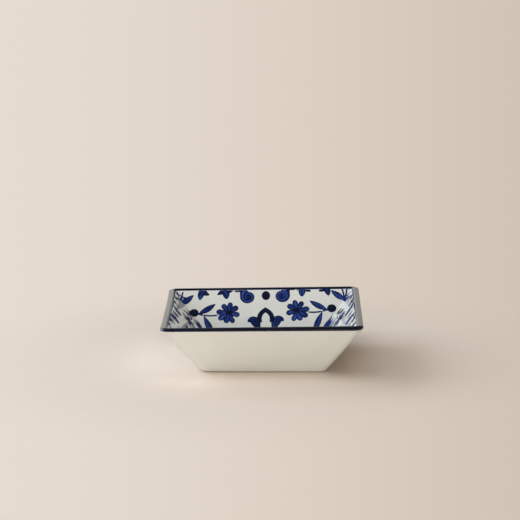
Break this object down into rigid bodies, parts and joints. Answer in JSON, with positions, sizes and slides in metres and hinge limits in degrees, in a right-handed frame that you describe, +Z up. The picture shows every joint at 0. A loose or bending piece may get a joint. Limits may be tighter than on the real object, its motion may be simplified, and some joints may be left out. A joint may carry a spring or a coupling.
{
  "type": "square dish",
  "caption": "Small square porcelain dish with steep flared walls, a dark blue band round the lip and a blue floral print inside, for snacks, dips or sauces.",
  "frame": {"origin": "middle of the foot, on the surface that the dish stands on", "axes": "+Z up out of the dish, +Y towards the back wall, +X to the right"},
  "size_m": [0.12, 0.12, 0.032],
  "materials": {
    "porcelain": "glossy clear glaze on off-white porcelain, foot ring unglazed",
    "rim_blue": "glossy, dark navy underglaze colour",
    "print_blue": "glossy, cobalt underglaze colour with brush strokes"
  },
  "bodies": {
    "root": {"porcelain_body": "porcelain", "rim_band": "rim_blue", "back_bead": "print_blue", "back_palmette": "print_blue", "back_left_flower": "print_blue", "back_right_flower": "print_blue", "back_left_scroll": "print_blue", "back_right_scroll": "print_blue", "back_left_inner_bud": "print_blue", "back_right_inner_bud": "print_blue", "back_left_outer_bud": "print_blue", "back_right_outer_bud": "print_blue", "back_left_corner_leaf": "print_blue", "back_right_corner_leaf": "print_blue", "left_bead": "print_blue", "left_palmette": "print_blue", "left_left_flower": "print_blue", "left_right_flower": "print_blue", "left_left_scroll": "print_blue", "left_right_scroll": "print_blue", "left_left_inner_bud": "print_blue", "left_right_inner_bud": "print_blue", "left_left_outer_bud": "print_blue", "left_right_outer_bud": "print_blue", "left_left_corner_leaf": "print_blue", "left_right_corner_leaf": "print_blue", "front_bead": "print_blue", "front_palmette": "print_blue", "front_left_flower": "print_blue", "front_right_flower": "print_blue", "front_left_scroll": "print_blue", "front_right_scroll": "print_blue", "front_left_inner_bud": "print_blue", "front_right_inner_bud": "print_blue", "front_left_outer_bud": "print_blue", "front_right_outer_bud": "print_blue", "front_left_corner_leaf": "print_blue", "front_right_corner_leaf": "print_blue", "right_bead": "print_blue", "right_palmette": "print_blue", "right_left_flower": "print_blue", "right_right_flower": "print_blue", "right_left_scroll": "print_blue", "right_right_scroll": "print_blue", "right_left_inner_bud": "print_blue", "right_right_inner_bud": "print_blue", "right_left_outer_bud": "print_blue", "right_right_outer_bud": "print_blue", "right_left_corner_leaf": "print_blue", "right_right_corner_leaf": "print_blue", "floor_rosette": "print_blue", "floor_back_right_leaves": "print_blue", "floor_back_left_leaves": "print_blue", "floor_front_left_leaves": "print_blue", "floor_front_right_leaves": "print_blue"}
  },
  "joints": []
}
